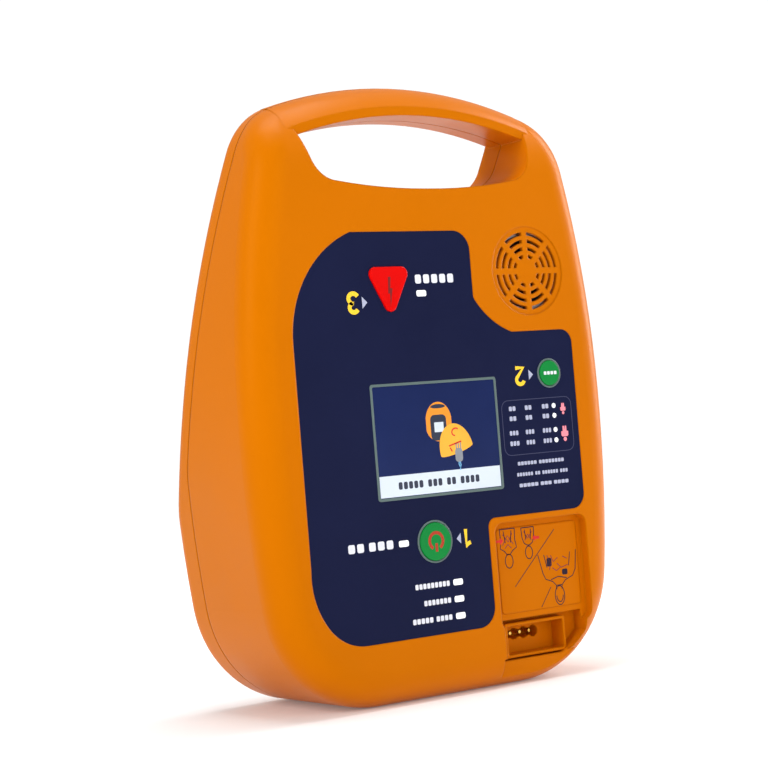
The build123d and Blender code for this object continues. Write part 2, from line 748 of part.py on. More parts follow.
with BuildPart() as lcd_backlight:
    with BuildSketch(layer(lcd_front + LCD_T + BACKLIGHT_T)):
        add(rounded(view_w + 1, view_h + 1, 0.5, display_at))
    extrude(amount=BACKLIGHT_T)

tray_back = lcd_front + LCD_T + BACKLIGHT_T
with BuildPart() as lcd_tray:
    with BuildSketch(layer(tray_back + TRAY_T)):
        add(rounded(view_w + 5, view_h + 5, 1, display_at))
    extrude(amount=tray_back + TRAY_T - lcd_front)
    with BuildSketch(layer(tray_back)):
        add(rounded(view_w + 1, view_h + 1, 0.5, display_at))
    extrude(amount=tray_back, mode=Mode.SUBTRACT)

power_button = key(circle_at(POWER_R, POWER_AT), circle_at(POWER_R + FLANGE_OUT, POWER_AT), POWER_AT)
mode_button = key(circle_at(MODE_R, MODE_AT), circle_at(MODE_R + FLANGE_OUT, MODE_AT), MODE_AT)
shock_flange = Pos(*SHOCK_AT) * triangle_outline(FLANGE_OUT)
shock_button = key(Pos(*SHOCK_AT) * triangle_outline(0), shock_flange, SHOCK_AT)


def button_ring(radius, at):
    """The plain ring pressed into the face round a round button."""
    with BuildPart() as collar:
        with BuildSketch(layer(WALL)):
            add(ring(radius + KEY_GAP + RING_W, radius + KEY_GAP, at))
        extrude(amount=WALL + RING_PROUD)
        fillet(collar.edges().group_by(Axis.Y)[0], RING_W * 0.35)
    return collar.part


KEYS = [POWER_AT, MODE_AT, SHOCK_AT]
with BuildPart(layer(KEYPAD_FRONT)) as button_domes:
    with Locations(*KEYS):
        Cone(DOME_BASE_R, DOME_TOP_R, DOME_H, align=STANDING)
        Cylinder(DOME_BASE_R + 1, 1, align=STANDING)
        Cone(DOME_BASE_R - DOME_WALL, DOME_TOP_R - DOME_WALL, DOME_H, align=STANDING, mode=Mode.SUBTRACT)

with BuildPart(layer(KEYPAD_FRONT)) as tact_switches:
    with Locations(*KEYS):
        Box(SWITCH_W, SWITCH_W, SWITCH_H, align=STANDING)
        Cylinder(PLUNGER_R, SWITCH_H + PLUNGER_H, align=STANDING)

lamp_places = STATUS_LIGHTS + ENERGY_LIGHTS
with BuildPart(layer(KEYPAD_FRONT)) as indicator_leds:
    with Locations(*lamp_places):
        Box(LED_W, LED_W * 0.7, LED_H, align=STANDING)

with BuildPart() as keypad_board:
    with BuildSketch(layer(KEYPAD_FRONT + BOARD_T)):
        with BuildLine():
            Polyline(KEYPAD_OUTLINE, close=True)
        make_face()
    extrude(amount=BOARD_T)
    fillet(keypad_board.edges().filter_by(Axis.Y), 2)
    add(board_screws.part, mode=Mode.SUBTRACT)

# ---- speaker -------------------------------------------------------------------------------------------
with BuildPart() as speaker_gasket:
    with BuildSketch(layer(WALL + GASKET_T)):
        add(ring(SPEAKER_R, SPEAKER_R - 1.8, SPEAKER_AT))
    extrude(amount=GASKET_T)

basket_back = CLAMP_AT + BASKET_H
with BuildPart(layer(basket_back)) as speaker_frame:
    with Locations(SPEAKER_AT):
        Cone(MAGNET_R + 1, SPEAKER_R - 3, BASKET_H, align=STANDING)
    with Locations((*SPEAKER_AT, BASKET_H)):
        Cylinder(SPEAKER_R, CLAMP_AT - WALL - GASKET_T, align=STANDING)
    with Locations((*SPEAKER_AT, 1.0)):
        Cone(MAGNET_R - 1, SPEAKER_R - 2, BASKET_H + 2, align=STANDING, mode=Mode.SUBTRACT)

with BuildPart(layer(basket_back - 1.0)) as speaker_cone:
    with Locations(SPEAKER_AT):
        Cone(CONE_BASE_R, CONE_TOP_R, BASKET_H - 1, align=STANDING)
    with Locations((*SPEAKER_AT, 0.6)):
        Cone(CONE_BASE_R, CONE_TOP_R, BASKET_H - 1, align=STANDING, mode=Mode.SUBTRACT)
    with Locations((*SPEAKER_AT, 0)):
        Cylinder(DUST_CAP_R, 2.4, align=STANDING)

with BuildPart(layer(basket_back + MAGNET_T)) as speaker_magnet:
    with Locations(SPEAKER_AT):
        Cylinder(MAGNET_R, MAGNET_T, align=STANDING)
    fillet(speaker_magnet.edges().group_by(Axis.Y)[-1], 1)

with BuildPart() as speaker_clamp:
    with BuildSketch(layer(clamp_back)):
        with Locations(SPEAKER_AT):
            SlotCenterToCenter(2 * CLAMP_REACH, CLAMP_EAR_W)
            Circle(SPEAKER_R + 1.5)
            Circle(SPEAKER_R - 2.6, mode=Mode.SUBTRACT)
    extrude(amount=CLAMP_T)
    add(clamp_screws.part, mode=Mode.SUBTRACT)

# ---- electrode pads corner -----------------------------------------------------------------------------
with BuildPart() as placement_label:
    with BuildSketch(layer(PLATE_DEPTH)):
        with BuildLine():
            Polyline(LABEL_OUTLINE, close=True)
        make_face()
    extrude(amount=LABEL_T)
    fillet(placement_label.edges().filter_by(Axis.Y), 2)

slot_lobes = Pos(*SLOT_AT) * lobed_slot(0)
pin_places = [(SLOT_AT[0] + (index - (LOBES - 1) / 2) * LOBE_PITCH, SLOT_AT[1]) for index in range(LOBES)]
with BuildPart(layer(SOCKET_BACK + PIN_TAIL)) as socket_contacts:
    with Locations(*pin_places):
        Cylinder(PIN_R, SOCKET_BACK + PIN_TAIL - PIN_FRONT, align=STANDING)

flange_front = POCKET_DEPTH + SUNK_WALL + GASKET_T
flange_outline = rounded(SOCKET_W + 2 * SOCKET_LIP, SOCKET_H + 2 * SOCKET_LIP, 2, SOCKET_AT)
cup_outline = rounded(SOCKET_W - 2 * SOCKET_RIM, SOCKET_H - 2 * SOCKET_RIM, 0.6, SOCKET_AT)
with BuildPart() as pads_socket:
    with BuildSketch(layer(SOCKET_BACK)):
        add(socket_outline)
    extrude(amount=SOCKET_BACK - SOCKET_FRONT)
    fillet(pads_socket.edges().group_by(Axis.Y)[0], 0.5)
    with BuildSketch(layer(flange_front + FLANGE_T)):
        add(flange_outline)
    extrude(amount=FLANGE_T)
    with BuildSketch(layer(SOCKET_FLOOR)):
        add(cup_outline)
    extrude(amount=SOCKET_FLOOR, mode=Mode.SUBTRACT)
    with BuildSketch(layer(SOCKET_BACK - 2)):
        add(slot_lobes)
    extrude(amount=SOCKET_BACK, mode=Mode.SUBTRACT)
    add(socket_contacts.part, mode=Mode.SUBTRACT)

with BuildPart() as socket_gasket:
    with BuildSketch(layer(flange_front)):
        add(flange_outline)
        add(socket_outline, mode=Mode.SUBTRACT)
    extrude(amount=GASKET_T)

# ---- main board and what stands on it --------------------------------------------------------------------
main_back = MAIN_FRONT + BOARD_T
with BuildPart() as main_board:
    with BuildSketch(layer(main_back)):
        with Locations((0, sum(MAIN_Z) / 2)):
            RectangleRounded(2 * MAIN_X, MAIN_Z[1] - MAIN_Z[0], 3)
    extrude(amount=BOARD_T)
    add(board_screws.part, mode=Mode.SUBTRACT)

capacitor_depth = main_back + CLAMP_FOOT_T + CAP_R
with BuildPart() as storage_capacitor:
    with BuildSketch(Plane.YZ.offset(CAP_X[0])):
        with Locations((y_at(capacitor_depth), CAP_Z)):
            Circle(CAP_R)
    extrude(amount=CAP_X[1] - CAP_X[0])
    fillet(storage_capacitor.edges(), 1.5)

with BuildPart() as capacitor_clamps:
    for x in CAP_CLAMP_X:
        with BuildSketch(Plane.YZ.offset(x)) as strap:
            with Locations((y_at(capacitor_depth), CAP_Z)):
                Circle(CAP_R + STRAP_T)
            with Locations((y_at(main_back + CAP_R / 2), CAP_Z)):
                Rectangle(CAP_R, 2 * (CAP_R + STRAP_T))
            with Locations((y_at(main_back + CLAMP_FOOT_T / 2), CAP_Z)):
                Rectangle(CLAMP_FOOT_T, 2 * CAP_R + 18)
            with Locations((y_at(capacitor_depth), CAP_Z)):
                Circle(CAP_R, mode=Mode.SUBTRACT)
        extrude(amount=CAP_CLAMP_W)

with BuildPart() as transformer_core:
    add(block(TRANSFORMER_X, TRANSFORMER_Z, main_back + 3, main_back + TRANSFORMER_H))
    window_z = grown(TRANSFORMER_Z, -7)
    for side in (-1, 1):
        middle = sum(TRANSFORMER_X) / 2 + side * 9.5
        add(block((middle - 4, middle + 4), window_z, main_back, main_back + 99), mode=Mode.SUBTRACT)

with BuildPart() as transformer_winding:
    middle = sum(TRANSFORMER_X) / 2
    winding_z = grown(TRANSFORMER_Z, -7)
    add(block((middle - 12.5, middle + 12.5), winding_z, main_back + 1, main_back + TRANSFORMER_H + 3))
    fillet(transformer_winding.edges().filter_by(Axis.Z), 3)
    add(transformer_core.part, mode=Mode.SUBTRACT)

with BuildPart() as discharge_relays:
    for z in RELAY_Z:
        add(block(RELAY_X, (z, z + RELAY_L), main_back, main_back + RELAY_H))
    fillet(discharge_relays.edges().filter_by(Axis.Y), 1)

with BuildPart() as heat_sink:
    add(block(SINK_X, SINK_Z, main_back, main_back + SINK_BASE))
    for index in range(SINK_FINS):
        x = SINK_X[0] + 1 + index * (SINK_X[1] - SINK_X[0] - 2) / (SINK_FINS - 1)
        add(block((x - 0.7, x + 0.7), SINK_Z, main_back, main_back + SINK_H))

coil_plane = Plane.XZ.offset(-y_at(main_back + 6))
with BuildPart() as inductor_core:
    with BuildSketch(coil_plane):
        add(ring(COIL_R + 3, COIL_R - 3, COIL_AT))
    extrude(amount=3, both=True)
with BuildPart() as inductor_winding:
    with BuildSketch(coil_plane):
        add(ring(COIL_R + 5, COIL_R - 5, COIL_AT))
        with Locations((COIL_AT[0], COIL_AT[1] + COIL_R)):
            Rectangle(5, 14, mode=Mode.SUBTRACT)
    extrude(amount=5, both=True)
    with BuildSketch(coil_plane):
        add(ring(COIL_R + 3, COIL_R - 3, COIL_AT))
    extrude(amount=3, both=True, mode=Mode.SUBTRACT)

with BuildPart(layer(main_back)) as filter_capacitors:
    with Locations(*FILTER_CAPS):
        Cylinder(FILTER_R, FILTER_H, align=(Align.CENTER, Align.CENTER, Align.MAX))
    fillet(filter_capacitors.edges().group_by(Axis.Y)[-1], 0.8)

with BuildPart(layer(MAIN_FRONT)) as board_chips:
    for at, size in BOARD_CHIPS:
        with Locations(at):
            Box(*size, CHIP_T, align=STANDING)

with BuildPart() as board_headers:
    add(block(*DISPLAY_HEADER, KEYPAD_FRONT + BOARD_T, MAIN_FRONT))
    add(block(*PADS_HEADER, SOCKET_BACK + PIN_TAIL - 4, MAIN_FRONT))
    add(block(*BATTERY_HEADER, main_back, CONTACT_BACK))

# ---- battery -------------------------------------------------------------------------------------------
battery_x = (-BATTERY_W / 2, BATTERY_W / 2)
cover_front = case_depth - BATTERY_COVER_T
notch = block((-CATCH_W / 2 - 0.6, CATCH_W / 2 + 0.6), (BATTERY_Z[1] - NOTCH_H, TOP), *grown(HOOK_DEPTHS, 0.5))
with BuildPart() as battery_case:
    add(block(battery_x, BATTERY_Z, BATTERY_FRONT, cover_front))
    fillet(battery_case.edges().filter_by(Axis.Y), BATTERY_ROUND)
    inner = grown(BATTERY_Z, -BATTERY_WALL)
    add(block(grown(battery_x, -BATTERY_WALL), inner, BATTERY_FRONT + BATTERY_WALL, TOP), mode=Mode.SUBTRACT)
    add(notch, mode=Mode.SUBTRACT)
    with BuildSketch(layer(BATTERY_FRONT + CONTACT_T)):
        with Locations(*contact_places):
            Rectangle(*CONTACT_PAD)
    extrude(amount=CONTACT_T + 1, mode=Mode.SUBTRACT)

with BuildPart() as battery_contacts:
    with BuildSketch(layer(BATTERY_FRONT + CONTACT_T)):
        with Locations(*contact_places):
            Rectangle(*CONTACT_PAD)
    extrude(amount=CONTACT_T)

with BuildPart() as battery_cover:
    add(block(battery_x, BATTERY_Z, cover_front, case_depth))
    fillet(battery_cover.edges().filter_by(Axis.Y), BATTERY_ROUND)
    fillet(battery_cover.edges().group_by(Axis.Y)[-1], 0.5)
    with BuildSketch(layer(case_depth)):
        for row in range(GRIP_ROWS):
            with Locations((0, BATTERY_Z[1] - 6 - row * GRIP_PITCH)):
                SlotOverall(GRIP_W, GRIP_PITCH * 0.45)
    extrude(amount=GRIP_CUT, mode=Mode.SUBTRACT)

cell_columns = [(index - 1.5) * (2 * CELL_R + 1.2) for index in range(4)]
cell_rows = (BATTERY_FRONT + BATTERY_WALL + CELL_R + 0.3, cover_front - CELL_R - 0.3)
with BuildPart() as battery_cells:
    with BuildSketch(Plane.XY.offset(sum(BATTERY_Z) / 2 - CELL_L / 2)):
        for row in cell_rows:
            with Locations(*[(x, y_at(row)) for x in cell_columns]):
                Circle(CELL_R)
    extrude(amount=CELL_L)
    with BuildSketch(Plane.XY.offset(sum(BATTERY_Z) / 2 - CELL_L / 2)):
        for row in cell_rows:
            with Locations(*[(x, y_at(row)) for x in cell_columns]):
                Circle(CELL_R * 0.35)
    extrude(amount=CELL_L + 1.5)

with BuildPart() as battery_catch_spring:
    with BuildSketch(Plane.YZ) as blade:
        with BuildLine():
            upper = Polyline([(y_at(depth), catch_z + lift) for depth, lift in CATCH_PATH])
            offset(amount=CATCH_T, side=Side.LEFT)
        make_face()
    extrude(amount=CATCH_W / 2, both=True)

with BuildPart() as battery_release_button:
    add(block(release_x, RELEASE_Z, case_depth - RELEASE_WALL - 1, case_depth - 0.3))
    fillet(battery_release_button.edges().group_by(Axis.Y)[-1], 0.6)
    release_flange = (case_depth - RELEASE_WALL - FLANGE_T, case_depth - RELEASE_WALL)
    add(block(grown(release_x, 1), grown(RELEASE_Z, 1), *release_flange))
    add(block((-4, 4), RELEASE_TAIL_Z, release_flange[0] - 1.2, release_flange[0]))

with BuildPart(layer(case_depth + FOOT_T - FOOT_SEAT)) as rear_feet:
    with Locations(*foot_places):
        Cylinder(FOOT_R, FOOT_T, align=STANDING)
    fillet(rear_feet.edges().group_by(Axis.Y)[-1], 0.6)

# ---- finished pieces -----------------------------------------------------------------------------------
pieces = {
    "front_shell": front_shell.part,
    "rear_shell": rear_shell.part,
    "shell_seal": seal,
    "case_screws": case_screws.part,
    "screw_caps": screw_caps.part,
    "graphic_panel": graphic_panel.part,
    "display_bezel": display_bezel.part,
    "display_window": display_window.part,
    "lcd_panel": lcd_panel.part,
    "lcd_backlight": lcd_backlight.part,
    "lcd_tray": lcd_tray.part,
    "power_button": power_button,
    "power_button_ring": button_ring(POWER_R, POWER_AT),
    "mode_button": mode_button,
    "mode_button_ring": button_ring(MODE_R, MODE_AT),
    "shock_button": shock_button,
    "button_domes": button_domes.part,
    "tact_switches": tact_switches.part,
    "status_light_pipes": status_pipes.part,
    "energy_light_pipes": energy_pipes.part,
    "indicator_leds": indicator_leds.part,
    "keypad_board": keypad_board.part,
    "speaker_gasket": speaker_gasket.part,
    "speaker_frame": speaker_frame.part,
    "speaker_cone": speaker_cone.part,
    "speaker_magnet": speaker_magnet.part,
    "speaker_clamp": speaker_clamp.part,
    "clamp_screws": clamp_screws.part,
    "placement_label": placement_label.part,
    "pads_socket": pads_socket.part,
    "socket_contacts": socket_contacts.part,
    "socket_gasket": socket_gasket.part,
    "main_board": main_board.part,
    "board_screws": board_screws.part,
    "storage_capacitor": storage_capacitor.part,
    "capacitor_clamps": capacitor_clamps.part,
    "transformer_core": transformer_core.part,
    "transformer_winding": transformer_winding.part,
    "discharge_relays": discharge_relays.part,
    "heat_sink": heat_sink.part,
    "inductor_core": inductor_core.part,
    "inductor_winding": inductor_winding.part,
    "filter_capacitors": filter_capacitors.part,
    "board_chips": board_chips.part,
    "board_headers": board_headers.part,
    "bay_contacts": bay_contacts.part,
    "battery_case": battery_case.part,
    "battery_cover": battery_cover.part,
    "battery_cells": battery_cells.part,
    "battery_contacts": battery_contacts.part,
    "battery_catch_spring": battery_catch_spring.part,
    "battery_release_button": battery_release_button.part,
    "rear_feet": rear_feet.part,
}
for name, piece in pieces.items():
    piece.label = name
    export_step(piece, f"parts/{name}.step")
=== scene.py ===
"""Looks of the portable defibrillator: studio, finishes for every CAD node and the printed graphics."""

import bpy
import json
import math
from mathutils import Matrix, Vector


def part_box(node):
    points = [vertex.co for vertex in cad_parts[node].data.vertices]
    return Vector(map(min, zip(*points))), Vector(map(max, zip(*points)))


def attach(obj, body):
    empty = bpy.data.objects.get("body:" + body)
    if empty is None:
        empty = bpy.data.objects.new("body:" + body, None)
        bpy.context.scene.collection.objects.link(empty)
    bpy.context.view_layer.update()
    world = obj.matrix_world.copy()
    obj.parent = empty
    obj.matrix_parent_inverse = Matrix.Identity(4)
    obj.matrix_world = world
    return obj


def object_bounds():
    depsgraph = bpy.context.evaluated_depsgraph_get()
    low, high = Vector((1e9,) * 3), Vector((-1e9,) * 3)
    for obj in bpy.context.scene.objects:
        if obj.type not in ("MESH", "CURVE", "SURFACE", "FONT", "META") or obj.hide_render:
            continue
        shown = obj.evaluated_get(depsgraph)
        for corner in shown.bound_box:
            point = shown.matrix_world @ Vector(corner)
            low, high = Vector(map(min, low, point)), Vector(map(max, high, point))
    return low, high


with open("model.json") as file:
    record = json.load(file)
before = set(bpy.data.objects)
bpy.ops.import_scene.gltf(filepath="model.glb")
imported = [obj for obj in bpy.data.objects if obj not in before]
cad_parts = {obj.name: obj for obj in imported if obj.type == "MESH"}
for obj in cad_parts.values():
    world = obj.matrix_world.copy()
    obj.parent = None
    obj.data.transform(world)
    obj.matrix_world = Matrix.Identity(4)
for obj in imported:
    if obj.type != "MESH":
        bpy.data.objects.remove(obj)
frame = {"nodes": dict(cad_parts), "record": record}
cad_lo, cad_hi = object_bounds()
MM = 0.001


# ---- camera --------------------------------------------------------------------------------------------
def make_camera(place, target, roll, lens):
    """A camera at a place, aimed at a target and rolled about its line of sight."""
    forward = (Vector(target) - Vector(place)).normalized()
    right = forward.cross(Vector((0, 0, 1))).normalized()
    up = right.cross(forward)
    turn = math.radians(roll)
    x_axis = math.cos(turn) * right - math.sin(turn) * up
    y_axis = math.sin(turn) * right + math.cos(turn) * up
    data = bpy.data.cameras.new("camera")
    data.lens = lens
    data.sensor_width = 36.0
    camera = bpy.data.objects.new("camera", data)
    bpy.context.scene.collection.objects.link(camera)
    axes = Matrix((x_axis, y_axis, -forward)).transposed()
    camera.matrix_world = Matrix.Translation(Vector(place)) @ axes.to_4x4()
    bpy.context.scene.camera = camera


make_camera((-0.5855, -0.8298, 0.1368), (-0.035, -0.0435, 0.1546), 4.6, 93.75)


# ---- studio --------------------------------------------------------------------------------------------
def area_light(name, place, target, size, power, colour=(1, 1, 1)):
    """A soft square lamp aimed at a point."""
    data = bpy.data.lights.new(name, "AREA")
    data.shape = "RECTANGLE"
    data.size, data.size_y = size
    data.energy = power
    data.color = colour
    lamp = bpy.data.objects.new(name, data)
    lamp.location = place
    lamp.rotation_mode = "QUATERNION"
    lamp.rotation_quaternion = (Vector(target) - Vector(place)).to_track_quat("-Z", "Y")
    bpy.context.scene.collection.objects.link(lamp)


world = bpy.data.worlds.new("studio")
bpy.context.scene.world = world
world.use_nodes = True
world.node_tree.nodes["Background"].inputs["Color"].default_value = (1.0, 1.0, 1.0, 1)
sky = world.node_tree.nodes["Background"]
ray = world.node_tree.nodes.new("ShaderNodeLightPath")
level = world.node_tree.nodes.new("ShaderNodeMapRange")
level.inputs["To Min"].default_value = 0.5
level.inputs["To Max"].default_value = 1.05
world.node_tree.links.new(ray.outputs["Is Camera Ray"], level.inputs["Value"])
world.node_tree.links.new(level.outputs["Result"], sky.inputs["Strength"])
bpy.context.scene.view_settings.view_transform = "Standard"

middle = (cad_lo + cad_hi) / 2
area_light("key_left", (-1.4, -0.3, 0.7), middle, (0.7, 0.9), 9.0)
area_light("front_soft", (0.1, -1.6, 0.7), middle, (1.4, 1.0), 7.0)
area_light("right_rim", (1.0, -0.05, 0.55), middle, (0.3, 1.0), 7.0)
area_light("overhead", (0.0, 0.0, 1.3), middle, (0.8, 0.6), 8.0)


# ---- materials -----------------------------------------------------------------------------------------
def srgb(red, green, blue):
    """A linear colour from 0..255 display values."""
    return tuple((v / 255 / 12.92) if v / 255 <= 0.04045 else ((v / 255 + 0.055) / 1.055) ** 2.4 for v in (red, green, blue))


def scaled(colour, factor):
    return tuple(min(1.0, c * factor) for c in colour)


def surface(name, colour, rough=0.4, grain=1500.0, bump=0.06, vary=0.06, patch=18.0, metal=0.0, coat=0.0,
            spec=0.5, rounding=0.0, dust=0.0, brushed=None, emit=0.0, tint=None):
    """A procedural finish: broad colour drift, fine grain in bump and roughness, and optional brushing."""
    material = bpy.data.materials.new(name)
    material.use_nodes = True
    nodes, links = material.node_tree.nodes, material.node_tree.links
    shader = nodes["Principled BSDF"]
    place = nodes.new("ShaderNodeTexCoord").outputs["Object"]

    drift = nodes.new("ShaderNodeTexNoise")
    drift.inputs["Scale"].default_value = patch
    drift.inputs["Detail"].default_value = 5.0
    links.new(place, drift.inputs["Vector"])
    tone = nodes.new("ShaderNodeValToRGB")
    tone.color_ramp.elements[0].position = 0.3
    tone.color_ramp.elements[1].position = 0.7
    tone.color_ramp.elements[0].color = (*scaled(colour, 1 - vary), 1)
    tone.color_ramp.elements[1].color = (*scaled(colour, 1 + vary), 1)
    links.new(drift.outputs["Fac"], tone.inputs["Fac"])
    paint = tone.outputs["Color"]

    fine = nodes.new("ShaderNodeTexNoise")
    fine.inputs["Scale"].default_value = grain
    fine.inputs["Detail"].default_value = 3.0
    if brushed:
        stretch = nodes.new("ShaderNodeMapping")
        stretch.inputs["Scale"].default_value = brushed
        links.new(place, stretch.inputs["Vector"])
        links.new(stretch.outputs["Vector"], fine.inputs["Vector"])
    else:
        links.new(place, fine.inputs["Vector"])

    speckle = nodes.new("ShaderNodeMix")
    speckle.data_type = "RGBA"
    speckle.blend_type = "MULTIPLY"
    speckle.inputs["Factor"].default_value = 1.0
    fleck = nodes.new("ShaderNodeMapRange")
    fleck.inputs["From Min"].default_value = 0.3
    fleck.inputs["From Max"].default_value = 0.7
    fleck.inputs["To Min"].default_value = 1 - vary * 0.6
    fleck.inputs["To Max"].default_value = 1.0
    links.new(fine.outputs["Fac"], fleck.inputs["Value"])
    links.new(paint, speckle.inputs["A"])
    links.new(fleck.outputs["Result"], speckle.inputs["B"])
    links.new(speckle.outputs["Result"], shader.inputs["Base Color"])

    worn = nodes.new("ShaderNodeTexNoise")
    worn.inputs["Scale"].default_value = patch * 4
    worn.inputs["Detail"].default_value = 8.0
    links.new(place, worn.inputs["Vector"])
    gloss = nodes.new("ShaderNodeMapRange")
    gloss.inputs["From Min"].default_value = 0.3
    gloss.inputs["From Max"].default_value = 0.7
    gloss.inputs["To Min"].default_value = max(0.02, rough * (0.85 - dust))
    gloss.inputs["To Max"].default_value = min(1.0, rough * (1.15 + dust))
    links.new(worn.outputs["Fac"], gloss.inputs["Value"])
    links.new(gloss.outputs["Result"], shader.inputs["Roughness"])

    relief = nodes.new("ShaderNodeBump")
    relief.inputs["Strength"].default_value = bump
    relief.inputs["Distance"].default_value = 0.0002
    links.new(fine.outputs["Fac"], relief.inputs["Height"])
    if rounding:
        soft = nodes.new("ShaderNodeBevel")
        soft.samples = 6
        soft.inputs["Radius"].default_value = rounding
        links.new(soft.outputs["Normal"], relief.inputs["Normal"])
    links.new(relief.outputs["Normal"], shader.inputs["Normal"])

    shader.inputs["Metallic"].default_value = metal
    shader.inputs["Coat Weight"].default_value = coat
    shader.inputs["Coat Roughness"].default_value = 0.12
    shader.inputs["Specular IOR Level"].default_value = spec
    if tint:
        shader.inputs["Specular Tint"].default_value = (*tint, 1)
    if emit:
        shader.inputs["Emission Color"].default_value = (*colour, 1)
        shader.inputs["Emission Strength"].default_value = emit
    return material


ORANGE = (0.585, 0.15, 0.0)
finishes = {
    "case_orange": surface("case_orange", ORANGE, 0.34, 2600, 0.10, 0.035, 9, spec=0.12, rounding=0.0014,
                           tint=(1.0, 0.5, 0.08)),
    "panel_navy": surface("panel_navy", srgb(21, 26, 58), 0.42, 3200, 0.08, 0.08, 14, spec=0.05),
    "trim_grey": surface("trim_grey", srgb(84, 104, 102), 0.36, 2200, 0.06, 0.06, 20, rounding=0.0003),
    "screen_glass": surface("screen_glass", srgb(22, 36, 84), 0.14, 2400, 0.01, 0.14, 16, spec=0.15),
    "lcd_glass": surface("lcd_glass", srgb(20, 30, 60), 0.1, 2400, 0.01, 0.1, 20, coat=0.5),
    "white_diffuser": surface("white_diffuser", srgb(228, 228, 224), 0.6, 1600, 0.05, 0.03),
    "steel_plate": surface("steel_plate", srgb(172, 174, 178), 0.32, 900, 0.05, 0.08, metal=1.0, brushed=(1, 12, 12)),
    "key_green": surface("key_green", srgb(2, 130, 54), 0.36, 2400, 0.08, 0.06, 30, spec=0.15),
    "key_red": surface("key_red", srgb(218, 2, 2), 0.34, 2400, 0.08, 0.06, 30, spec=0.25, tint=(1.0, 0.2, 0.15)),
    "clear_pipe": surface("clear_pipe", srgb(246, 248, 250), 0.3, 1800, 0.05, 0.03, emit=0.25),
    "silicone": surface("silicone", srgb(150, 152, 150), 0.55, 1400, 0.1, 0.05),
    "black_plastic": surface("black_plastic", srgb(32, 32, 34), 0.5, 2000, 0.12, 0.1),
    "circuit_board": surface("circuit_board", srgb(18, 88, 52), 0.35, 700, 0.15, 0.22, 120, coat=0.4),
    "black_rubber": surface("black_rubber", srgb(26, 26, 27), 0.75, 1500, 0.25, 0.12, 40, spec=0.25, dust=0.1),
    "grille_fabric": surface("grille_fabric", srgb(122, 30, 8), 0.85, 1400, 0.4, 0.15, 60, spec=0.15),
    "speaker_paper": surface("speaker_paper", srgb(34, 33, 35), 0.8, 1200, 0.35, 0.15, 60, spec=0.2),
    "gold_contact": surface("gold_contact", srgb(222, 176, 84), 0.25, 1200, 0.04, 0.08, metal=1.0),
    "capacitor_sleeve": surface("capacitor_sleeve", srgb(28, 52, 104), 0.3, 1500, 0.06, 0.08, coat=0.4),
    "ferrite": surface("ferrite", srgb(60, 60, 63), 0.7, 900, 0.3, 0.2, 60),
    "copper_wire": surface("copper_wire", srgb(176, 96, 48), 0.35, 500, 0.5, 0.12, metal=0.9, brushed=(1, 1, 20)),
    "relay_case": surface("relay_case", srgb(196, 194, 184), 0.35, 1500, 0.05, 0.04),
    "bare_aluminium": surface("bare_aluminium", srgb(186, 188, 192), 0.35, 900, 0.08, 0.08, metal=1.0, brushed=(1, 1, 20)),
    "cell_can": surface("cell_can", srgb(96, 150, 86), 0.35, 1500, 0.04, 0.06, coat=0.3),
    "battery_plastic": surface("battery_plastic", srgb(46, 47, 50), 0.5, 1300, 0.35, 0.12, 30, rounding=0.0004),
    "spring_steel": surface("spring_steel", srgb(178, 180, 184), 0.25, 900, 0.05, 0.06, metal=1.0, brushed=(1, 10, 1)),
}
slot_of = {part["node"]: part["material_slot"] for part in frame["record"]["subparts"]}
for node, cad in frame["nodes"].items():
    cad.data.materials.clear()
    cad.data.materials.append(finishes[slot_of[node]])

ink_white = surface("ink_white", srgb(226, 228, 238), 0.5, 2600, 0.05, 0.04, 30, spec=0.3)
ink_pale = surface("ink_pale", srgb(176, 180, 204), 0.5, 2600, 0.05, 0.04, 30, spec=0.3)
ink_yellow = surface("ink_yellow", srgb(255, 208, 44), 0.5, 2600, 0.05, 0.04, 30, spec=0.3)
ink_pink = surface("ink_pink", srgb(246, 142, 156), 0.5, 2600, 0.05, 0.04, 30, spec=0.3)
ink_line = surface("ink_line", srgb(58, 62, 94), 0.5, 2600, 0.05, 0.04, 30, spec=0.3)
ink_black = surface("ink_black", srgb(38, 24, 44), 0.55, 2600, 0.05, 0.08, 60, spec=0.2)
ink_fold = surface("ink_fold", srgb(120, 30, 52), 0.5, 2600, 0.05, 0.06, 60, spec=0.3)
ink_red = surface("ink_red", srgb(212, 36, 26), 0.5, 2600, 0.05, 0.06, 60, spec=0.3)
ink_brown = surface("ink_brown", srgb(176, 58, 34), 0.5, 2600, 0.05, 0.06, 60, spec=0.2)
ink_bolt = surface("ink_bolt", srgb(120, 12, 10), 0.45, 2600, 0.05, 0.06, 60, spec=0.3)
screen_pale = surface("screen_pale", srgb(216, 227, 241), 0.2, 2400, 0.01, 0.03, 20, coat=0.3)
screen_dark = surface("screen_dark", srgb(30, 38, 62), 0.2, 2400, 0.01, 0.05, 20, coat=0.3)
screen_orange = surface("screen_orange", srgb(243, 148, 24), 0.2, 2400, 0.01, 0.06, 60, coat=0.3)
screen_amber = surface("screen_amber", srgb(250, 178, 44), 0.2, 2400, 0.01, 0.06, 60, coat=0.3)
screen_grey = surface("screen_grey", srgb(134, 138, 146), 0.2, 2400, 0.01, 0.06, 60, coat=0.3)
screen_cyan = surface("screen_cyan", srgb(120, 190, 236), 0.2, 2400, 0.01, 0.06, 60, coat=0.3)


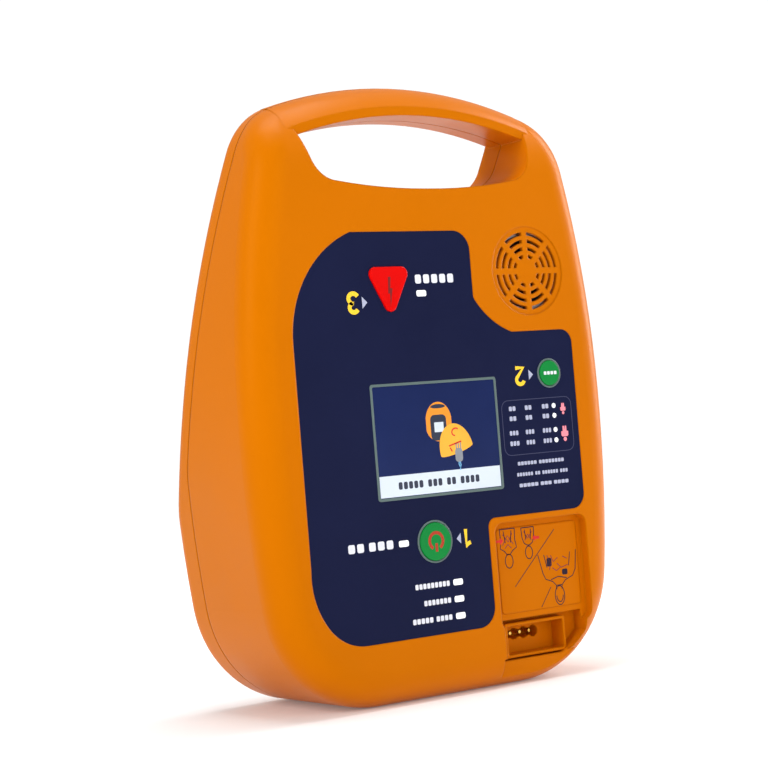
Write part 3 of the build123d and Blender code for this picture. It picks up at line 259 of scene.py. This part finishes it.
# ---- printing ------------------------------------------------------------------------------------------
def printed(name, curve, front, thick, material, body, at=(0, 0), turned=False):
    """Turns a flat curve or text into a thin film whose back lies on the surface at depth 'front' (m)."""
    curve.extrude = thick / 2
    holder = bpy.data.objects.new(name + "_outline", curve)
    bpy.context.scene.collection.objects.link(holder)
    bpy.context.view_layer.update()
    graph = bpy.context.evaluated_depsgraph_get()
    mesh = bpy.data.meshes.new_from_object(holder.evaluated_get(graph))
    bpy.data.objects.remove(holder)
    spin = Matrix.Rotation(math.pi, 4, "Z") if turned else Matrix.Identity(4)
    stand = Matrix.Rotation(math.pi / 2, 4, "X")
    place = Matrix.Translation((at[0] * MM, front - thick / 2, at[1] * MM))
    mesh.transform(place @ stand @ spin)
    mesh.materials.clear()
    mesh.materials.append(material)
    piece = bpy.data.objects.new(name, mesh)
    bpy.context.scene.collection.objects.link(piece)
    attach(piece, body)
    return piece


FILM = 0.00003
PANEL_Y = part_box("graphic_panel")[0].y
WINDOW_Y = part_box("display_window")[0].y
LABEL_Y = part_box("placement_label")[0].y
BUTTON_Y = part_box("power_button")[0].y


def flat_curve(loops, closed=True):
    """A filled flat curve from loops of X, Z points in millimetres."""
    curve = bpy.data.curves.new("flat", "CURVE")
    curve.dimensions = "2D"
    curve.fill_mode = "BOTH"
    for loop in loops:
        spline = curve.splines.new("POLY")
        spline.points.add(len(loop) - 1)
        for point, (x, z) in zip(spline.points, loop):
            point.co = (x * MM, z * MM, 0, 1)
        spline.use_cyclic_u = closed
    return curve


def arc(cx, cz, rx, rz, start=0.0, stop=360.0, steps=24):
    """Points along an ellipse's arc, in degrees."""
    span = [math.radians(start + (stop - start) * i / steps) for i in range(steps + 1)]
    return [(cx + rx * math.cos(a), cz + rz * math.sin(a)) for a in span]


def pill(cx, cz, w, h, r):
    """A rectangle with round corners."""
    r = min(r, w / 2 - 0.01, h / 2 - 0.01)
    points = []
    for sx, sz, start in ((1, 1, 0), (-1, 1, 90), (-1, -1, 180), (1, -1, 270)):
        points += arc(cx + sx * (w / 2 - r), cz + sz * (h / 2 - r), r, r, start, start + 90, 5)
    return points


def ribbon(points, width, closed=False):
    """The outline of a line of constant width along points."""
    path = [Vector(p) for p in points]
    if closed:
        path = path + [path[0], path[1]]
    left, right = [], []
    for i, p in enumerate(path):
        before = (p - path[i - 1]) if i else (path[1] - p)
        after = (path[i + 1] - p) if i < len(path) - 1 else before
        run = (before.normalized() + after.normalized())
        run = run.normalized() if run.length > 1e-6 else after.normalized()
        side = Vector((-run.y, run.x)) * width / 2
        left.append(tuple(p + side))
        right.append(tuple(p - side))
    return left + right[::-1]


def stroke_mesh(name, lines, width, front, material, body):
    """Thin printed lines: each line of X, Z points becomes a strip of quads with a front and an edge."""
    verts, faces = [], []
    for line in lines:
        path = [Vector(p) for p in line]
        base = len(verts)
        for i, p in enumerate(path):
            before = (p - path[i - 1]) if i else (path[1] - p)
            after = (path[i + 1] - p) if i < len(path) - 1 else before
            run = before.normalized() + after.normalized()
            run = run.normalized() if run.length > 1e-6 else after.normalized()
            side = Vector((-run.y, run.x)) * width / 2
            for q, y in ((p + side, front), (p + side, front - FILM), (p - side, front - FILM), (p - side, front)):
                verts.append((q.x * MM, y, q.y * MM))
        for i in range(len(path) - 1):
            a, b = base + 4 * i, base + 4 * (i + 1)
            for k in range(3):
                faces.append((a + k, a + k + 1, b + k + 1, b + k))
        faces.append((base, base + 3, base + 2, base + 1))
        last = base + 4 * (len(path) - 1)
        faces.append((last, last + 1, last + 2, last + 3))
    mesh = bpy.data.meshes.new(name)
    mesh.from_pydata(verts, [], faces)
    mesh.materials.append(material)
    piece = bpy.data.objects.new(name, mesh)
    bpy.context.scene.collection.objects.link(piece)
    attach(piece, body)
    return piece


def shapes(name, loops, front, material, body="case", thick=FILM):
    return printed(name, flat_curve(loops), front, thick, material, body)


def digit_line(text):
    """The middle line of a plain digit, in units of its height, centred on the origin."""
    if text == "1":
        return [(-0.2, 0.24), (-0.04, 0.3), (0.07, 0.42), (0.07, -0.42)]
    if text == "2":
        return arc(0, 0.2, 0.24, 0.22, 165, -30, 14) + [(-0.23, -0.4), (0.27, -0.4)]
    return arc(-0.02, 0.21, 0.22, 0.2, 155, -80, 14) + arc(-0.02, -0.19, 0.25, 0.22, 80, -155, 14)


def numeral(name, text, at, height, front, material, body="case"):
    """A bold digit, turned to be read from the handle side, centred on a point."""
    line = [(at[0] - x * height, at[1] - z * height) for x, z in digit_line(text)]
    return stroke_mesh(name, [line], height * 0.2, front, material, body)


def word_bars(x0, x1, z, height, counts, gap=0.55, space=1.9):
    """Plain blocks standing in for a line of words: counts gives the number of blocks in each word."""
    total = sum(counts)
    free = (x1 - x0) - space * (len(counts) - 1) - gap * (total - len(counts))
    width = free / total
    loops, x = [], x0
    for word in counts:
        for _ in range(word):
            loops.append(pill(x + width / 2, z, width, height, height * 0.22))
            x += width + gap
        x += space - gap
    return loops


# numerals and the small markers beside them
for text, at, height in (("3", (-49.0, 194.1), 11.0), ("1", (7.5, 76.6), 10.0), ("2", (49.0, 154.1), 10.0)):
    numeral("step_" + text, text, at, height, PANEL_Y, ink_yellow)


def marker(x, z, half, reach):
    return [(x - reach / 2, z - half), (x - reach / 2, z + half), (x + reach / 2, z)]


shapes("step_markers", [marker(-42.3, 194.1, 2.9, 3.0), marker(2.3, 76.6, 2.6, -2.6), marker(56.0, 154.4, 2.6, 2.8)],
       PANEL_Y, ink_pale)

# lines of words, drawn as plain blocks
shapes("word_bars_keys", word_bars(-11.5, 11.75, 204.6, 4.4, [5], 1.3) + word_bars(-63, -37, 77.6, 4.2, [2, 3], 1.3, 3.0),
       PANEL_Y, ink_white)
shapes("word_bars_lamps", word_bars(-26, -5.4, 55.6, 2.6, [9], 0.5) + word_bars(-21.5, -5.4, 47.35, 2.6, [7], 0.5)
       + word_bars(-29, -5.4, 39.1, 2.6, [5, 4], 0.5, 2.0), PANEL_Y, ink_white)
shapes("word_bars_help", word_bars(43, 75, 99.1, 1.8, [5, 3, 4], 0.35, 1.6) + word_bars(42, 75, 104.6, 1.8, [6, 2, 6, 3], 0.35, 1.5)
       + word_bars(43, 73, 110.1, 1.8, [6, 8], 0.35, 1.6), PANEL_Y, ink_pale)

# energy table: rounded outline, blocks in three columns, two small figures
table_rows = (137.85, 132.85, 125.6, 120.35)
cells = []
for z, widths in zip(table_rows, ((4.2, 4.2, 4.2), (4.2, 4.2, 4.2), (5.4, 5.4, 5.4), (5.4, 5.4, 5.8))):
    for x, w in zip((63.6, 52.5, 42.2), widths):
        cells += word_bars(x - w / 2, x + w / 2, z, 2.3, [2 if w < 5 else 3], 0.4)
shapes("energy_cells", cells, PANEL_Y, ink_pale)
outline_box = pill(58.1, 128.3, 45.2, 27.5, 4.0)
stroke_mesh("energy_outline", [outline_box + outline_box[:1]], 0.32, PANEL_Y, ink_line, "case")


def person(x, z, s):
    """A plain upside-down figure: head disc below, body and limbs above."""
    body = [(x - 0.9 * s, z + 2.9 * s), (x - 0.95 * s, z + 0.9 * s), (x - 1.7 * s, z + 0.9 * s), (x - 1.7 * s, z - 0.6 * s),
            (x - 1.2 * s, z - 1.1 * s), (x + 1.2 * s, z - 1.1 * s), (x + 1.7 * s, z - 0.6 * s), (x + 1.7 * s, z + 0.9 * s),
            (x + 0.95 * s, z + 0.9 * s), (x + 0.9 * s, z + 2.9 * s), (x + 0.15 * s, z + 2.9 * s), (x, z + 1.4 * s),
            (x - 0.15 * s, z + 2.9 * s)]
    return [body, arc(x, z - 2.1 * s, 0.8 * s, 0.8 * s, steps=18)[:-1]]


shapes("energy_figures", person(75.2, 135.9, 1.0) + person(75.2, 123.2, 1.35), PANEL_Y, ink_pink)

# symbols on the keys
bolt = [(-28.4, 206.0), (-26.9, 206.0), (-27.5, 200.4), (-26.2, 200.4), (-28.1, 191.0), (-27.8, 197.9), (-28.9, 197.9)]
printed("shock_symbol", flat_curve([bolt]), BUTTON_Y, FILM, ink_bolt, "shock_button")
power_mark = [ribbon(arc(-12.25, 76.9, 4.0, 4.0, -58, 238, 40), 1.6), ribbon([(-12.25, 71.6), (-12.25, 75.8)], 1.5)]
printed("power_symbol", flat_curve(power_mark[:1]), BUTTON_Y, FILM, ink_brown, "power_button")
printed("power_symbol_bar", flat_curve(power_mark[1:]), BUTTON_Y, FILM, ink_brown, "power_button")
printed("mode_symbol", flat_curve(word_bars(63.6, 71.9, 154.6, 1.7, [4], 0.5)), BUTTON_Y, FILM, ink_white, "mode_button")

# what the display shows: a pale caption band, and a case with a plug pad drawn upside down
win_lo, win_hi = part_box("display_window")
wx0, wx1 = win_lo.x / MM, win_hi.x / MM
wz0 = win_lo.z / MM
shapes("screen_band", [[(wx0 + 0.3, wz0 + 0.3), (wx1 - 0.3, wz0 + 0.3), (wx1 - 0.3, wz0 + 10.6), (wx0 + 0.3, wz0 + 10.6)]],
       WINDOW_Y, screen_pale)
shapes("screen_words", word_bars(-31, 18, wz0 + 5.4, 3.6, [5, 3, 2, 4], 0.8, 3.0), WINDOW_Y - FILM, screen_dark)
case_shape = arc(-4.1, 134.6, 7.9, 9.6, 12, 168, 16) + arc(-4.1, 132.0, 7.9, 7.2, 192, 348, 16)
shapes("screen_case", [case_shape], WINDOW_Y, screen_orange)
shapes("screen_case_panel", [pill(-4.4, 131.6, 9.6, 12.6, 2.4)], WINDOW_Y - FILM, screen_dark)
shapes("screen_case_grip", [arc(-4.1, 141.6, 4.6, 1.5, 0, 180, 12) + arc(-4.1, 141.9, 4.6, 0.9, 180, 360, 12)], WINDOW_Y - FILM,
       screen_dark)
shapes("screen_case_display", [pill(-4.2, 131.8, 5.6, 4.8, 0.3)], WINDOW_Y - 2 * FILM, screen_pale)
tilt = Matrix.Rotation(math.radians(14), 2)


def leaning(points, cx, cz):
    """Points turned a little about a centre."""
    return [tuple(Vector((cx, cz)) + tilt @ (Vector(p) - Vector((cx, cz)))) for p in points]


pad_shape = leaning(arc(5.6, 119.8, 10.2, 13.4, 2, 178, 28) + arc(5.6, 119.8, 10.2, 1.6, 180, 360, 10), 5.6, 119.8)
shapes("screen_pad", [pad_shape], WINDOW_Y - 3 * FILM, screen_amber)
stroke_mesh("screen_pad_marks", [leaning(arc(7.6, 128.6, 2.2, 1.8, 30, 250, 10), 5.6, 119.8),
            leaning([(1.6, 123.2), (9.6, 123.2)], 5.6, 119.8), leaning([(2.0, 122.2), (2.6, 120.0)], 5.6, 119.8)], 0.7,
            WINDOW_Y - 4 * FILM, ink_red, "case")
shapes("screen_plug", [pill(6.6, 117.4, 4.6, 6.8, 1.8)], WINDOW_Y - 4 * FILM, screen_grey)
stroke_mesh("screen_plug_pins", [[(5.2, 120.4), (5.2, 123.4)], [(6.6, 120.4), (6.6, 123.4)], [(8.0, 120.4), (8.0, 123.4)]], 0.6,
            WINDOW_Y - 4 * FILM, screen_grey, "case")
stroke_mesh("screen_cable", [[(6.4, 114.2), (6.2, 112.8), (7.0, 111.2), (6.8, 109.9)], [(7.0, 114.2), (7.4, 112.4), (6.9, 111.0)]], 0.55,
            WINDOW_Y - FILM, screen_cyan, "case")

# pictures on the sunken plate, upside down: two small figures, a dividing line, one large figure with its pads
torso_a = [(31.2, 78.0), (31.6, 72.0), (31.0, 68.4), (33.4, 67.0), (35.0, 65.2), (37.0, 65.2), (38.8, 67.0), (41.4, 68.4), (40.6, 72.0), (40.8, 78.0)]
torso_b = [(45.0, 77.6), (45.4, 72.4), (46.4, 69.8), (48.4, 68.6), (49.8, 68.6), (51.8, 69.8), (52.8, 72.4), (53.2, 77.6)]
torso_c = [(54.6, 63.0), (57.0, 53.4), (58.6, 50.2), (63.0, 48.6), (65.2, 46.4), (69.0, 46.4), (71.4, 48.6), (76.4, 50.4), (78.4, 53.6), (79.6, 63.4)]
arms_c = [[(58.4, 62.6), (60.0, 56.0)], [(75.6, 62.6), (74.2, 55.6)], [(62.0, 49.6), (66.8, 50.8), (72.4, 49.6)]]
lines = [torso_a, torso_b, torso_c, *arms_c,
         [(31.2, 78.0), (40.8, 78.0)], [(45.0, 77.6), (53.2, 77.6)],
         [(33.6, 77.0), (34.4, 71.0)], [(38.6, 77.0), (37.8, 71.0)], [(47.2, 76.6), (47.8, 71.6)], [(51.2, 76.6), (50.6, 71.6)],
         arc(36.0, 61.8, 2.5, 3.5, steps=22), arc(49.1, 64.9, 2.3, 3.2, steps=22), arc(67.0, 41.2, 3.1, 4.8, steps=24),
         arc(67.0, 41.2, 2.1, 3.3, 180, 360, 12), [(65.0, 46.2), (65.4, 44.4)], [(69.0, 46.2), (68.6, 44.4)]]
stroke_mesh("pictogram_lines", lines, 0.5, LABEL_Y, ink_black, "case")
folds = [[(32.6, 70.0), (36.0, 74.6), (39.4, 70.2)], [(33.0, 75.4), (36.4, 71.4), (39.0, 75.6)], [(34.0, 68.4), (36.0, 70.2), (38.0, 68.2)],
         [(46.6, 75.8), (49.0, 72.0), (51.8, 75.4)], [(47.0, 71.2), (49.2, 74.2), (51.2, 70.8)],
         [(60.4, 62.2), (62.6, 58.0), (61.4, 54.6)], [(62.8, 62.0), (64.4, 58.6), (67.2, 60.4)], [(66.6, 57.6), (69.2, 55.2), (73.6, 56.2)],
         [(63.4, 55.6), (66.0, 53.8), (68.6, 55.2)], [(70.6, 60.8), (73.4, 59.4)]]
stroke_mesh("pictogram_folds", folds, 0.45, LABEL_Y, ink_fold, "case")
stroke_mesh("pictogram_dividers", [[(66.5, 75.0), (38.5, 48.6)], [(61.5, 46.0), (54.5, 36.6)]], 0.42, LABEL_Y, ink_black, "case")
shapes("pictogram_pads", [pill(61.6, 58.6, 3.2, 4.4, 0.9), pill(71.4, 52.8, 3.6, 3.0, 0.9)], LABEL_Y, ink_black)
shapes("pictogram_arrows", [[(28.2, 72.8), (31.0, 72.8), (31.0, 74.0), (33.4, 72.2), (31.0, 70.4), (31.0, 71.6), (28.2, 71.6)],
                            [(56.4, 72.6), (53.8, 72.6), (53.8, 73.6), (51.8, 71.9), (53.8, 70.2), (53.8, 71.2), (56.4, 71.2)]],
       LABEL_Y - FILM, ink_red)

# ---- floor ---------------------------------------------------------------------------------------------
floor_mesh = bpy.data.meshes.new("floor")
floor_mesh.from_pydata([(-6, -6, 0), (6, -6, 0), (6, 6, 0), (-6, 6, 0)], [], [(0, 1, 2, 3)])
floor = bpy.data.objects.new("floor", floor_mesh)
bpy.context.scene.collection.objects.link(floor)
floor_white = surface("floor_white", (0.9, 0.9, 0.9), 0.7, 300, 0.02, 0.01, 4, spec=0.1, emit=0.5)
floor_nodes, floor_links = floor_white.node_tree.nodes, floor_white.node_tree.links
# painted shadow: the floor's glow grows with distance from the origin, from 0.12 at the object's foot to 0.65 far off,
# so the floor is darker around the object on top of the lamps' own shadows
reach = floor_nodes.new("ShaderNodeVectorMath")
reach.operation = "LENGTH"
floor_links.new(floor_nodes.new("ShaderNodeTexCoord").outputs["Object"], reach.inputs[0])
painted_shadow_glow = floor_nodes.new("ShaderNodeMapRange")
painted_shadow_glow.inputs["From Min"].default_value = 0.1
painted_shadow_glow.inputs["From Max"].default_value = 0.7
painted_shadow_glow.inputs["To Min"].default_value = 0.12
painted_shadow_glow.inputs["To Max"].default_value = 0.65
floor_links.new(reach.outputs["Value"], painted_shadow_glow.inputs["Value"])
floor_links.new(painted_shadow_glow.outputs["Result"], floor_nodes["Principled BSDF"].inputs["Emission Strength"])
floor_mesh.materials.append(floor_white)
